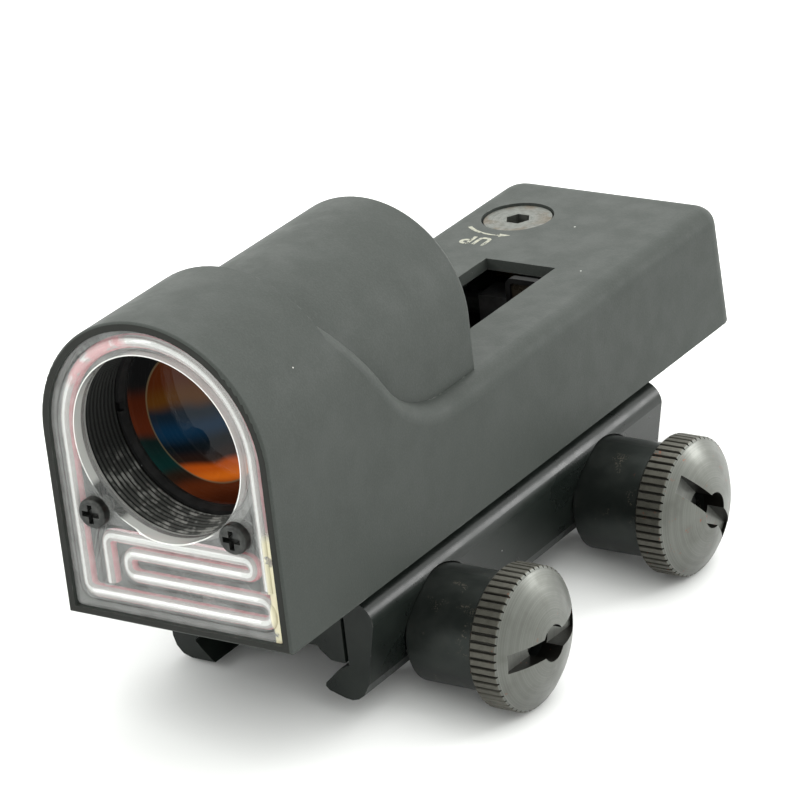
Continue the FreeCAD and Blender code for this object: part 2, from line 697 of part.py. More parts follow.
def make_bottom_cover():
    edge = COVER_LEDGE - PANEL_GAP
    plate = box(-BAY_HALF - edge, BAY_HALF + edge, back(BAY_FRONT - edge), back(BAY_REAR + edge),
                BODY_BOTTOM + FIT, up(COVER_THICK))
    rail = box(-10, 11, back(COVER_RAIL_FRONT), back(COVER_RAIL_REAR), up(COVER_THICK), up(COVER_RAIL_TOP))
    cover = plate.fuse(rail)
    for place in cover_screw_places():
        hole = COVER_SCREW_RADIUS + 0.1
        cover = cover.cut(rod(hole, place, place + Z_AXIS * 5))
        cover = cover.cut(Part.makeCone(COVER_BOSS_RADIUS + 0.1, hole, 1.2, place, Z_AXIS))
    return cover.removeSplitter()


def countersunk(place, head_radius, shank_radius, head_depth, length):
    head = Part.makeCone(head_radius, shank_radius, head_depth, place + Z_AXIS * FIT, Z_AXIS)
    screw = head.fuse(rod(shank_radius, place + Z_AXIS * head_depth, place + Z_AXIS * length))
    recess = cross_recess(place, Z_AXIS, X_AXIS, head_radius * 1.3, head_depth * 0.6)
    return screw.cut(recess)


def make_cover_screws():
    screws = [countersunk(place, COVER_BOSS_RADIUS, COVER_SCREW_RADIUS, 1.2, 7.0)
              for place in cover_screw_places()]
    return Part.makeCompound(screws)


# ---- rail mount --------------------------------------------------------------
def bolt_places():
    return [-BOLT_PITCH / 2, BOLT_PITCH / 2]


def across_base(points):
    """Extrude an outline given as (x, z) over the length of the mount."""
    half = MOUNT_LENGTH / 2
    return prism([vec(x, -half, z) for x, z in points], vec(0, MOUNT_LENGTH, 0))


def make_mount_base():
    """Block under the housing, with the fixed jaw on the left."""
    top = BODY_BOTTOM - FIT
    edge = -(RAIL_HALF + RAIL_PLAY)
    hook = 2.15
    low = RAIL_EDGE_Z - RAIL_PLAY
    points = [(-14.2, top), (-14.2, -2.6), (-13.8, -3.9), (-12.9, -4.9), (-11.6, -5.3),
              (edge + hook + 0.5, -5.3), (edge + hook, low - hook), (edge, low), (edge, RAIL_EDGE_Z + 0.2),
              (-RAIL_TOP_HALF, 0), (RAIL_TOP_HALF, 0), (8.4, -0.5), (10.0, -1.7), (12.0, -1.7), (12.0, top)]
    base = across_base(points)
    for y in bolt_places():
        base = base.cut(box(-9, 9, y - BOLT_RELIEF, y + BOLT_RELIEF, -1, 0.4))
        base = base.cut(rod(BOLT_RADIUS + 0.1, vec(-16, y, BOLT_AXIS_Z), vec(14, y, BOLT_AXIS_Z)))
    for place in mount_screw_places():
        hole = MOUNT_SCREW_RADIUS + 0.1
        base = base.cut(rod(hole, place - Z_AXIS, place + Z_AXIS * 9))
        base = base.cut(Part.makeCone(MOUNT_HEAD_RADIUS + 0.1, hole, 1.8, place, Z_AXIS))
    return base.removeSplitter()


def make_mount_screws():
    radius = MOUNT_SCREW_RADIUS - FIT
    screws = [countersunk(place, MOUNT_HEAD_RADIUS, radius, 1.8, 13.0) for place in mount_screw_places()]
    return Part.makeCompound(screws)


def clamp_outline():
    """End view of the moving jaw: hook below, rounded shoulder above."""
    hook = 2.2
    edge = RAIL_HALF + 0.3
    start = -MOUNT_LENGTH / 2
    middle = math.sqrt(0.5) * CLAMP_SHOULDER
    centre_x = CLAMP_OUTER - CLAMP_SHOULDER
    centre_z = CLAMP_TOP - CLAMP_SHOULDER
    points = [(CLAMP_OUTER, centre_z), (15.1, -4.2), (14.3, -5.7), (13.4, -6.4), (12.4, CLAMP_BOTTOM),
              (11.4, -6.6), (edge - hook + 0.35, -5.9), (edge - hook - 0.1, -5.4), (edge - hook, RAIL_EDGE_Z - hook),
              (edge, RAIL_EDGE_Z), (CLAMP_INNER, -1.9), (CLAMP_INNER, CLAMP_TOP - 0.3),
              (CLAMP_INNER + 0.3, CLAMP_TOP), (centre_x, CLAMP_TOP)]
    corners = [vec(x, start, z) for x, z in points]
    edges = [line(first, last) for first, last in zip(corners, corners[1:])]
    edges.append(arc(corners[-1], vec(centre_x + middle, start, centre_z + middle), corners[0]))
    return edges


def make_clamp_bar():
    """Moving jaw that the two thumb nuts draw against the rail."""
    bar = extrude_outline(clamp_outline(), vec(0, MOUNT_LENGTH, 0))
    for y in bolt_places():
        bar = bar.cut(rod(BOLT_RADIUS + 0.2, vec(8, y, BOLT_AXIS_Z), vec(18, y, BOLT_AXIS_Z)))
        bar = bar.cut(rod(NUT_BARREL_RADIUS + 0.2, vec(NUT_SEAT_X, y, BOLT_AXIS_Z), vec(19, y, BOLT_AXIS_Z)))
    return bar.removeSplitter()


def make_cross_bolts():
    bolts = []
    for y in bolt_places():
        shank = rod(BOLT_RADIUS, vec(-15.2, y, BOLT_AXIS_Z), vec(BOLT_END_X, y, BOLT_AXIS_Z))
        tip = [edge for edge in shank.Edges if edge.BoundBox.XMin > BOLT_END_X - 0.1]
        shank = shank.makeChamfer(0.4, tip)
        flat = box(-8.0, 8.0, y - 3, y + 3, BOLT_AXIS_Z - 3, -RAIL_SLOT_DEPTH)
        corners = hexagon(vec(-16.2, y, BOLT_AXIS_Z), Y_AXIS, Z_AXIS, 3.1)
        head = prism(corners, vec(2.0 - FIT, 0, 0))
        bolts.append(shank.cut(flat).fuse(head).removeSplitter())
    return Part.makeCompound(bolts)


def knurled_head():
    """Toothed rim, drawn as a closed saw-tooth outline."""
    points = []
    root = NUT_RADIUS - KNURL_DEPTH
    for tooth in range(KNURL_TEETH):
        for share, radius in ((0.0, root), (0.14, NUT_RADIUS), (0.74, NUT_RADIUS), (0.88, root)):
            angle = 2 * math.pi * (tooth + share) / KNURL_TEETH
            points.append(vec(NUT_HEAD_X, radius * math.cos(angle), radius * math.sin(angle)))
    head = prism(points, vec(NUT_HEAD_WIDTH, 0, 0))
    corner = 0.35
    right = NUT_HEAD_X + NUT_HEAD_WIDTH
    outline = [vec(NUT_HEAD_X, 0, 0), vec(NUT_HEAD_X, 0, NUT_RADIUS - corner),
               vec(NUT_HEAD_X + corner, 0, NUT_RADIUS + 0.01), vec(right - corner, 0, NUT_RADIUS + 0.01),
               vec(right, 0, NUT_RADIUS - corner), vec(right, 0, 0)]
    return head.common(spun(outline, vec(0, 0, 0), X_AXIS))


def nut_dome():
    base = NUT_RADIUS - 0.4
    rise = NUT_DOME
    radius = (base * base + rise * rise) / (2 * rise)
    face = NUT_HEAD_X + NUT_HEAD_WIDTH
    ball = Part.makeSphere(radius, vec(face + rise - radius, 0, 0))
    return ball.common(rod(base, vec(face - 0.2, 0, 0), vec(face + rise + 1, 0, 0)))


def thumb_nut(y, slot_angle):
    """Knurled nut with a domed, coin-slotted face, turned about its bolt."""
    barrel = rod(NUT_BARREL_RADIUS, vec(NUT_SEAT_X + FIT, 0, 0), vec(NUT_HEAD_X + 0.5, 0, 0))
    left = [edge for edge in barrel.Edges if edge.BoundBox.XMax < NUT_SEAT_X + 0.1]
    barrel = barrel.makeChamfer(0.4, left)
    nut = barrel.fuse([knurled_head(), nut_dome()])
    apex = NUT_HEAD_X + NUT_HEAD_WIDTH + NUT_DOME
    half = COIN_SLOT_WIDTH / 2
    slot = box(apex - COIN_SLOT_DEPTH, apex + 1, -COIN_SLOT_END, COIN_SLOT_END, -half, half)
    slot.rotate(vec(0, 0, 0), X_AXIS, slot_angle)
    bore = rod(BOLT_RADIUS + RUNNING, vec(NUT_SEAT_X - 1, 0, 0), vec(apex + 1, 0, 0))
    mouth = rod(2.35, vec(NUT_HEAD_X + 1.5, 0, 0), vec(apex + 1, 0, 0))
    nut = nut.cut(slot).cut(bore).cut(mouth).removeSplitter()
    nut.translate(vec(0, y, BOLT_AXIS_Z))
    return nut


def make_nodes():
    up_face = elevation_face()
    left_face = windage_face()
    return {
        "main_housing": make_housing(),
        "light_panel": make_light_panel(),
        "panel_backing": make_panel_backing(),
        "light_fibre": make_light_fibre(),
        "fibre_lead": make_fibre_lead(),
        "fibre_clip": make_fibre_clip(),
        "panel_screws": make_panel_screws(),
        "lens_ring": make_lens_ring(),
        "reflector_lens": make_reflector_lens(),
        "compensating_lens": make_compensating_lens(),
        "bottom_cover": make_bottom_cover(),
        "cover_screws": make_cover_screws(),
        "elevation_screw": make_elevation_screw(),
        "elevation_clip": adjuster_clip(up_face, -Z_AXIS),
        "elevation_o_ring": adjuster_o_ring(up_face, -Z_AXIS),
        "elevation_nut": make_elevation_nut(),
        "windage_screw": make_windage_screw(),
        "windage_clip": adjuster_clip(left_face, X_AXIS),
        "windage_o_ring": adjuster_o_ring(left_face, X_AXIS),
        "windage_saddle": make_windage_saddle(),
        "emitter_post": make_emitter_post(),
        "emitter_bezel": make_emitter_bezel(),
        "emitter_window": make_emitter_window(),
        "light_guide": make_light_guide(),
        "emitter_spring": make_emitter_spring(),
        "mount_base": make_mount_base(),
        "mount_screws": make_mount_screws(),
        "clamp_bar": make_clamp_bar(),
        "cross_bolts": make_cross_bolts(),
        "thumb_nut_front": thumb_nut(-BOLT_PITCH / 2, -2),
        "thumb_nut_rear": thumb_nut(BOLT_PITCH / 2, -48),
    }


if __name__ == "__main__":
    os.makedirs("parts", exist_ok=True)
    for name, shape in make_nodes().items():
        save(name, shape)
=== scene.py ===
import math

import bmesh
import bpy
from mathutils import Matrix, Vector


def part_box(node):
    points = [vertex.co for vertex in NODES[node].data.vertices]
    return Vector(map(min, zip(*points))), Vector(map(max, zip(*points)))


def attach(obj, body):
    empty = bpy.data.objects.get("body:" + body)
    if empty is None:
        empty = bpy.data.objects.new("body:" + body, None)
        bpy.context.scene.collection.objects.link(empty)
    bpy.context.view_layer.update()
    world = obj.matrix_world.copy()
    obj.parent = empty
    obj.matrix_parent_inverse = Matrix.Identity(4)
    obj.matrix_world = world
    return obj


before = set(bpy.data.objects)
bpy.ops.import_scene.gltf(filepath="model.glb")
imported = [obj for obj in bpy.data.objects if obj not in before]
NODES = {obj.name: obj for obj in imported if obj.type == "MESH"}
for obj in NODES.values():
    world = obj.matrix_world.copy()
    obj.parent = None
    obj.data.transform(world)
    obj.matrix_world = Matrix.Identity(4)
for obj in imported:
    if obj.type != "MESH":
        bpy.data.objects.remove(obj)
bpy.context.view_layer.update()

MM = 0.001

# ---- places taken from the CAD boxes -----------------------------------------
HOUSING_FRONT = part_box("main_housing")[0][1]
ADJUSTER_LOW, ADJUSTER_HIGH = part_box("elevation_screw")
WINDAGE_LOW, WINDAGE_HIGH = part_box("windage_screw")
RING_LOW, RING_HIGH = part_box("lens_ring")
PANEL_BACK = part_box("light_panel")[1][1]
NUT_BOXES = {name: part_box(name) for name in ("thumb_nut_front", "thumb_nut_rear")}


def middle(low, high):
    return (Vector(low) + Vector(high)) / 2


ADJUSTER_AXIS = middle(ADJUSTER_LOW, ADJUSTER_HIGH)
WINDAGE_AXIS = middle(WINDAGE_LOW, WINDAGE_HIGH)
BORE_AXIS = middle(RING_LOW, RING_HIGH)
ADJUSTER_SINK = 0.3 * MM      # depth of the adjuster's face under the deck
DECK_TOP = ADJUSTER_HIGH[2] + ADJUSTER_SINK
BORE_BLACK = 13.2 * MM        # radius about the bore inside which the housing is black
THREAD_CREST = 12.1 * MM
THREAD_ROOT = 12.3 * MM
RIM_DEPTH = 0.3 * MM          # how far the painted shade on the front rim reaches back
BORE_START = HOUSING_FRONT + 0.9 * MM
BORE_END = HOUSING_FRONT + 47.9 * MM
GLUE_EDGE = 13.9 * MM
PANEL_LIP = 12.15 * MM        # radius of the panel's round opening
FIBRE_RED_PATCH_PLACE = BORE_AXIS + Vector((-8, 0, 11.5)) * MM
NUT_DOME = 2.95 * MM          # a thumb nut's measures, from the top of its dome
NUT_KNURL_END = 6.95 * MM
KNURL_ROOT = 8.86 * MM
KNURL_TIP = 9.12 * MM
SLOT_DEPTH = 2.5 * MM
SLOT_REACH = 7.7 * MM
HEAD_EDGE = 4.60 * MM         # radius past which an adjuster is painted near black, as shade in its gap
COAT_EDGE = 8.6 * MM          # radius where the lens's painted reflection changes, with a painted highlight ring there


# ---- camera --------------------------------------------------------------------
CAMERA_PLACE = Vector((0.31638, -0.44217, 0.25203))
CAMERA_AZIMUTH = math.radians(35.618)
CAMERA_ELEVATION = math.radians(23.386)
CAMERA_ROLL = math.radians(6.636)
CAMERA_LENS = 209.2


def make_camera():
    azimuth, elevation, roll = CAMERA_AZIMUTH, CAMERA_ELEVATION, CAMERA_ROLL
    level_right = Vector((math.cos(azimuth), math.sin(azimuth), 0))
    back = Vector((math.sin(azimuth) * math.cos(elevation), -math.cos(azimuth) * math.cos(elevation),
                   math.sin(elevation)))
    level_up = back.cross(level_right)
    right = level_right * math.cos(roll) - level_up * math.sin(roll)
    up = level_right * math.sin(roll) + level_up * math.cos(roll)
    data = bpy.data.cameras.new("camera")
    data.sensor_width = 36
    data.lens = CAMERA_LENS
    data.clip_start = 0.01
    data.clip_end = 10
    camera = bpy.data.objects.new("camera", data)
    rotation = Matrix((right, up, back)).transposed()
    camera.matrix_world = Matrix.Translation(CAMERA_PLACE) @ rotation.to_4x4()
    bpy.context.scene.collection.objects.link(camera)
    bpy.context.scene.camera = camera


make_camera()


# ---- material tools --------------------------------------------------------------
class Surface:
    """A node material with short calls for the nodes that the finishes share."""

    def __init__(self, name, **uniform):
        self.material = bpy.data.materials.new(name)
        self.material.use_nodes = True
        self.tree = self.material.node_tree
        self.shader = self.tree.nodes["Principled BSDF"]
        self.place = self.node("ShaderNodeTexCoord").outputs["Object"]
        for key, value in uniform.items():
            self.shader.inputs[key.replace("_", " ")].default_value = value

    def node(self, kind, **settings):
        node = self.tree.nodes.new(kind)
        for key, value in settings.items():
            setattr(node, key, value)
        return node

    def link(self, source, target):
        if isinstance(source, (int, float)):
            target.default_value = source
        elif isinstance(source, tuple):
            target.default_value = source
        else:
            self.tree.links.new(source, target)

    def to(self, socket, source):
        self.link(source, self.shader.inputs[socket])

    def math(self, operation, first, second=0.0):
        node = self.node("ShaderNodeMath", operation=operation)
        self.link(first, node.inputs[0])
        self.link(second, node.inputs[1])
        return node.outputs[0]

    def scaled_place(self, x, y, z):
        node = self.node("ShaderNodeVectorMath", operation="MULTIPLY")
        self.link(self.place, node.inputs[0])
        node.inputs[1].default_value = (x, y, z)
        return node.outputs[0]

    def noise(self, size_mm, detail=3.0, roughness=0.55, place=None):
        """Value noise whose blobs are about this many millimetres across."""
        node = self.node("ShaderNodeTexNoise")
        self.link(self.place if place is None else place, node.inputs["Vector"])
        node.inputs["Scale"].default_value = 1000 / size_mm
        node.inputs["Detail"].default_value = detail
        node.inputs["Roughness"].default_value = roughness
        return node.outputs["Fac"]

    def ramp(self, source, low, high, first=0.0, last=1.0):
        """Maps low..high to first..last, smoothly and clamped."""
        node = self.node("ShaderNodeMapRange", interpolation_type="SMOOTHSTEP")
        self.link(source, node.inputs["Value"])
        for name, value in (("From Min", low), ("From Max", high), ("To Min", first), ("To Max", last)):
            node.inputs[name].default_value = value
        return node.outputs["Result"]

    def mix(self, factor, first, second):
        node = self.node("ShaderNodeMix", data_type="RGBA")
        self.link(factor, node.inputs["Factor"])
        self.link(first, node.inputs["A"])
        self.link(second, node.inputs["B"])
        return node.outputs["Result"]

    def specks(self, spacing_mm, size_mm, share):
        """Small round dots, one at most in each cell, in this share of the cells."""
        cells = self.node("ShaderNodeTexVoronoi")
        self.link(self.place, cells.inputs["Vector"])
        cells.inputs["Scale"].default_value = 1000 / spacing_mm
        near = self.math("LESS_THAN", cells.outputs["Distance"], size_mm / spacing_mm)
        parts = self.node("ShaderNodeSeparateColor")
        self.link(cells.outputs["Color"], parts.inputs[0])
        return self.math("MULTIPLY", near, self.math("LESS_THAN", parts.outputs[0], share))

    def edges(self, radius_mm, low=0.02, high=0.15):
        """1 near sharp convex and concave edges, 0 on open faces."""
        bevel = self.node("ShaderNodeBevel", samples=4)
        bevel.inputs["Radius"].default_value = radius_mm * MM
        plain = self.node("ShaderNodeNewGeometry").outputs["Normal"]
        dot = self.node("ShaderNodeVectorMath", operation="DOT_PRODUCT")
        self.link(bevel.outputs[0], dot.inputs[0])
        self.link(plain, dot.inputs[1])
        return self.ramp(self.math("SUBTRACT", 1.0, dot.outputs["Value"]), low, high)

    def bump(self, *layers):
        """Each layer is (height source, depth in millimetres)."""
        previous = None
        for height, depth_mm in layers:
            node = self.node("ShaderNodeBump")
            node.inputs["Distance"].default_value = depth_mm * MM
            self.link(height, node.inputs["Height"])
            if previous is not None:
                self.link(previous, node.inputs["Normal"])
            previous = node.outputs["Normal"]
        self.to("Normal", previous)

    def facing(self, direction):
        """Cosine between the surface normal and a fixed direction of the scene."""
        dot = self.node("ShaderNodeVectorMath", operation="DOT_PRODUCT")
        self.link(self.node("ShaderNodeNewGeometry").outputs["Normal"], dot.inputs[0])
        dot.inputs[1].default_value = Vector(direction).normalized()
        return dot.outputs["Value"]

    def part(self, axis):
        """One coordinate of the part frame, in metres."""
        node = self.node("ShaderNodeSeparateXYZ")
        self.link(self.place, node.inputs[0])
        return node.outputs[axis]

    def both(self, *masks):
        product = masks[0]
        for mask in masks[1:]:
            product = self.math("MULTIPLY", product, mask)
        return product

    def radius_from(self, axis, centre):
        """Distance in metres from a line along axis through centre."""
        shift = self.node("ShaderNodeVectorMath", operation="SUBTRACT")
        self.link(self.place, shift.inputs[0])
        shift.inputs[1].default_value = centre
        parts = self.node("ShaderNodeSeparateXYZ")
        self.link(shift.outputs[0], parts.inputs[0])
        names = [name for name in "XYZ" if name != axis]
        squares = [self.math("MULTIPLY", parts.outputs[name], parts.outputs[name]) for name in names]
        return self.math("SQRT", self.math("ADD", squares[0], squares[1]))


def grey(value, alpha=1.0):
    return (value, value, value, alpha)


# ---- finishes ----------------------------------------------------------------------
def housing_finish():
    """Matt hard-anodised aluminium, black inside the bore, with painted shade on the front rim and painted
    highlights and glints on the lower thread crests.
    """
    s = Surface("housing_finish")
    base = s.mix(s.ramp(s.noise(16, 3), 0.3, 0.7), (0.036, 0.041, 0.037, 1), (0.041, 0.046, 0.042, 1))
    grain = s.noise(0.25, 2)
    base = s.mix(s.ramp(grain, 0.35, 0.75, 0, 0.3), base, (0.062, 0.066, 0.062, 1))
    worn = s.both(s.edges(0.25), s.ramp(s.noise(1.6, 3), 0.52, 0.68))
    base = s.mix(s.both(worn, 0.4), base, (0.24, 0.24, 0.23, 1))
    base = s.mix(s.specks(4.6, 0.12, 0.4), base, (0.5, 0.5, 0.47, 1))
    base = s.mix(s.specks(6.5, 0.1, 0.15), base, (0.02, 0.02, 0.02, 1))
    # painted shade: the front-facing faces of the front rim are painted near black
    front = s.both(s.math("GREATER_THAN", s.facing((0, -1, 0)), 0.9),
                   s.math("LESS_THAN", s.part("Y"), HOUSING_FRONT + RIM_DEPTH))
    base = s.mix(front, base, (0.015, 0.016, 0.014, 1))
    bore = s.both(s.math("LESS_THAN", s.radius_from("Y", BORE_AXIS), BORE_BLACK),
                  s.math("GREATER_THAN", s.part("Y"), BORE_START),
                  s.math("LESS_THAN", s.part("Y"), BORE_END))
    # painted light on the thread crests: darker towards the top of the bore, lighter towards its bottom, with
    # painted glints in noise patches at the bottom
    crest = s.both(s.ramp(s.radius_from("Y", BORE_AXIS), THREAD_ROOT, THREAD_CREST),
                   s.math("LESS_THAN", s.part("Y"), RING_LOW[1]))
    low = s.ramp(s.math("SUBTRACT", s.part("Z"), BORE_AXIS[2]), -3 * MM, -9 * MM)
    line = s.mix(low, (0.020, 0.021, 0.020, 1), (0.060, 0.062, 0.058, 1))
    line = s.mix(s.both(low, s.ramp(s.noise(1.6, 4), 0.48, 0.66)), line, (0.26, 0.26, 0.245, 1))
    black = s.mix(crest, (0.006, 0.006, 0.006, 1), line)
    s.to("Base Color", s.mix(bore, base, black))
    s.to("Specular IOR Level", s.math("SUBTRACT", 0.16, s.both(bore, 0.08)))
    s.to("Roughness", s.ramp(s.noise(4, 3), 0.3, 0.7, 0.5, 0.62))
    s.bump((grain, 0.012), (s.noise(0.8, 2), 0.012))
    return s.material


def mount_finish():
    """Semi-gloss black anodising with fine draw lines along the extrusion."""
    s = Surface("mount_finish", Specular_IOR_Level=0.24)
    blotch = s.noise(6, 3)
    base = s.mix(s.ramp(blotch, 0.3, 0.7), (0.006, 0.008, 0.007, 1), (0.011, 0.014, 0.012, 1))
    worn = s.both(s.edges(0.2), s.ramp(s.noise(1.2, 3), 0.55, 0.7))
    base = s.mix(s.both(worn, 0.35), base, (0.25, 0.25, 0.24, 1))
    base = s.mix(s.specks(5, 0.1, 0.25), base, (0.4, 0.4, 0.38, 1))
    s.to("Base Color", base)
    lines = s.noise(0.3, 2, place=s.scaled_place(1, 0.04, 1))
    s.to("Roughness", s.ramp(blotch, 0.3, 0.7, 0.26, 0.36))
    s.bump((lines, 0.005), (s.noise(0.5, 2), 0.005))
    return s.material


def nut_finish(name):
    """Gunmetal thumb nut: turned face, smooth dark barrel and worn brown knurl, with painted shade in the
    knurl grooves and in the coin slot.
    """
    low, high = NUT_BOXES[name]
    s = Surface(name + "_finish", Metallic=0.7)
    radius = s.radius_from("X", middle(low, high))
    x = s.part("X")
    face_start = high[0] - NUT_DOME
    knurl = s.both(s.math("GREATER_THAN", x, high[0] - NUT_KNURL_END), s.math("LESS_THAN", x, face_start),
                   s.math("GREATER_THAN", radius, 8.0 * MM))
    face = s.math("GREATER_THAN", x, face_start)
    rings = s.noise(0.12, 2, place=turning_place(s, radius, x))
    patch = s.noise(3.5, 4)
    barrel = s.mix(s.ramp(patch, 0.35, 0.7), (0.020, 0.024, 0.022, 1), (0.030, 0.034, 0.031, 1))
    scuff = s.both(s.ramp(s.noise(2.6, 2), 0.60, 0.72), s.ramp(s.noise(0.25, 2), 0.5, 0.65))
    barrel = s.mix(s.both(scuff, 0.5), barrel, (0.16, 0.14, 0.11, 1))
    turned = s.mix(s.ramp(rings, 0.35, 0.7), (0.105, 0.108, 0.098, 1), (0.132, 0.136, 0.124, 1))
    turned = s.mix(s.ramp(patch, 0.4, 0.75, 0, 0.5), turned, (0.075, 0.076, 0.066, 1))
    # painted shade: faces of the nut's face that don't face outward, and the coin slot's floor, are painted
    # near black
    outward = s.math("GREATER_THAN", s.facing((1, 0, 0)), 0.4)
    slot_floor = s.both(s.math("LESS_THAN", x, high[0] - SLOT_DEPTH), s.math("LESS_THAN", radius, SLOT_REACH))
    turned = s.mix(s.math("SUBTRACT", outward, slot_floor), (0.012, 0.011, 0.009, 1), turned)
    turned = s.mix(s.both(s.edges(0.06), outward, 0.5), turned, (0.26, 0.26, 0.23, 1))
    # painted shade: the knurl is painted dark in its grooves and lighter on its tips
    groove = s.ramp(radius, KNURL_ROOT, KNURL_TIP)
    teeth = s.mix(groove, (0.020, 0.019, 0.016, 1), (0.088, 0.085, 0.071, 1))
    teeth = s.mix(s.ramp(s.noise(0.8, 3), 0.4, 0.7, 0, 0.5), teeth, (0.050, 0.047, 0.038, 1))
    base = s.mix(face, barrel, turned)
    base = s.mix(knurl, base, teeth)
    near_knurl = s.ramp(x, high[0] - 9.5 * MM, high[0] - 7.2 * MM)
    rust = s.both(near_knurl, s.ramp(s.noise(1.4, 3), 0.64, 0.70), s.ramp(s.noise(0.3, 2), 0.5, 0.6))
    base = s.mix(s.both(rust, 0.6), base, (0.20, 0.05, 0.02, 1))
    base = s.mix(s.specks(3.8, 0.09, 0.3), base, (0.4, 0.4, 0.37, 1))
    s.to("Base Color", base)
    rough = s.ramp(patch, 0.3, 0.7, 0.34, 0.44)
    s.to("Roughness", s.math("ADD", rough, s.both(knurl, 0.08)))
    s.bump((s.both(rings, face), 0.006), (s.noise(0.4, 3), 0.006))
    return s.material


def turning_place(s, radius, x):
    """A texture place that only changes across the lathe marks."""
    node = s.node("ShaderNodeCombineXYZ")
    s.link(radius, node.inputs["X"])
    s.link(s.math("MULTIPLY", x, 0.2), node.inputs["Y"])
    return node.outputs[0]


def black_screw_finish():
    s = Surface("black_screw_finish", Metallic=0.6, Specular_IOR_Level=0.5)
    patch = s.noise(0.8, 3)
    base = s.mix(s.ramp(patch, 0.35, 0.7), (0.020, 0.021, 0.020, 1), (0.045, 0.046, 0.043, 1))
    worn = s.both(s.edges(0.1), s.ramp(s.noise(0.5, 2), 0.5, 0.65))
    s.to("Base Color", s.mix(s.both(worn, 0.5), base, grey(0.3)))
    s.to("Roughness", s.ramp(patch, 0.3, 0.7, 0.28, 0.45))
    s.bump((s.noise(0.2, 2), 0.006))
    return s.material


def nickel_finish(name, axis, centre):
    """Worn nickel face with lathe marks and brown grime towards its rim, painted near black past its edge as
    shade in its gap.
    """
    s = Surface(name, Metallic=0.85)
    radius = s.radius_from(axis, centre)
    rings = s.node("ShaderNodeCombineXYZ")
    s.link(radius, rings.inputs["X"])
    marks = s.noise(0.18, 2, place=rings.outputs[0])
    grime = s.both(s.ramp(s.noise(3.0, 4), 0.46, 0.60), s.ramp(radius, 1.8 * MM, 4.4 * MM))
    base = s.mix(s.ramp(marks, 0.35, 0.7), (0.090, 0.094, 0.085, 1), (0.135, 0.139, 0.126, 1))
    base = s.mix(s.both(grime, 0.7), base, (0.085, 0.062, 0.038, 1))
    # painted shade: past the face's edge the adjuster is painted near black
    base = s.mix(s.ramp(radius, HEAD_EDGE, HEAD_EDGE + 0.2 * MM, 0, 0.9), base, grey(0.015))
    s.to("Base Color", base)
    s.to("Roughness", s.ramp(s.noise(0.7, 3), 0.3, 0.7, 0.35, 0.55))
    s.bump((marks, 0.008), (s.noise(0.3, 2), 0.006))
    return s.material


def steel_finish(name, tone, roughness):
    s = Surface(name, Metallic=0.9)
    patch = s.noise(1.0, 3)
    s.to("Base Color", s.mix(s.ramp(patch, 0.3, 0.7), grey(tone * 0.75), grey(tone)))
    s.to("Roughness", s.ramp(patch, 0.3, 0.7, roughness, roughness + 0.12))
    s.bump((s.noise(0.25, 2), 0.004))
    return s.material


def brass_finish():
    s = Surface("brass_finish", Metallic=0.95)
    patch = s.noise(1.2, 3)
    s.to("Base Color", s.mix(s.ramp(patch, 0.3, 0.7), (0.52, 0.36, 0.14, 1), (0.68, 0.50, 0.22, 1)))
    s.to("Roughness", s.ramp(patch, 0.3, 0.7, 0.28, 0.42))
    s.bump((s.noise(0.25, 2), 0.004))
    return s.material


def black_plastic_finish(name, tone=0.02, roughness=0.4):
    s = Surface(name, Specular_IOR_Level=0.18)
    patch = s.noise(2.0, 3)
    base = s.mix(s.ramp(patch, 0.3, 0.7), grey(tone), grey(tone * 1.7))
    s.to("Base Color", s.mix(s.specks(2.5, 0.07, 0.3), base, grey(0.4)))
    s.to("Roughness", s.ramp(patch, 0.3, 0.7, roughness, roughness + 0.12))
    s.bump((s.noise(0.3, 2), 0.008))
    return s.material


def rubber_finish():
    s = Surface("rubber_finish", Specular_IOR_Level=0.3)
    patch = s.noise(1.0, 3)
    s.to("Base Color", s.mix(s.ramp(patch, 0.3, 0.7), grey(0.012), grey(0.025)))
    s.to("Roughness", s.ramp(patch, 0.3, 0.7, 0.6, 0.75))
    s.bump((s.noise(0.2, 2), 0.004))
    return s.material


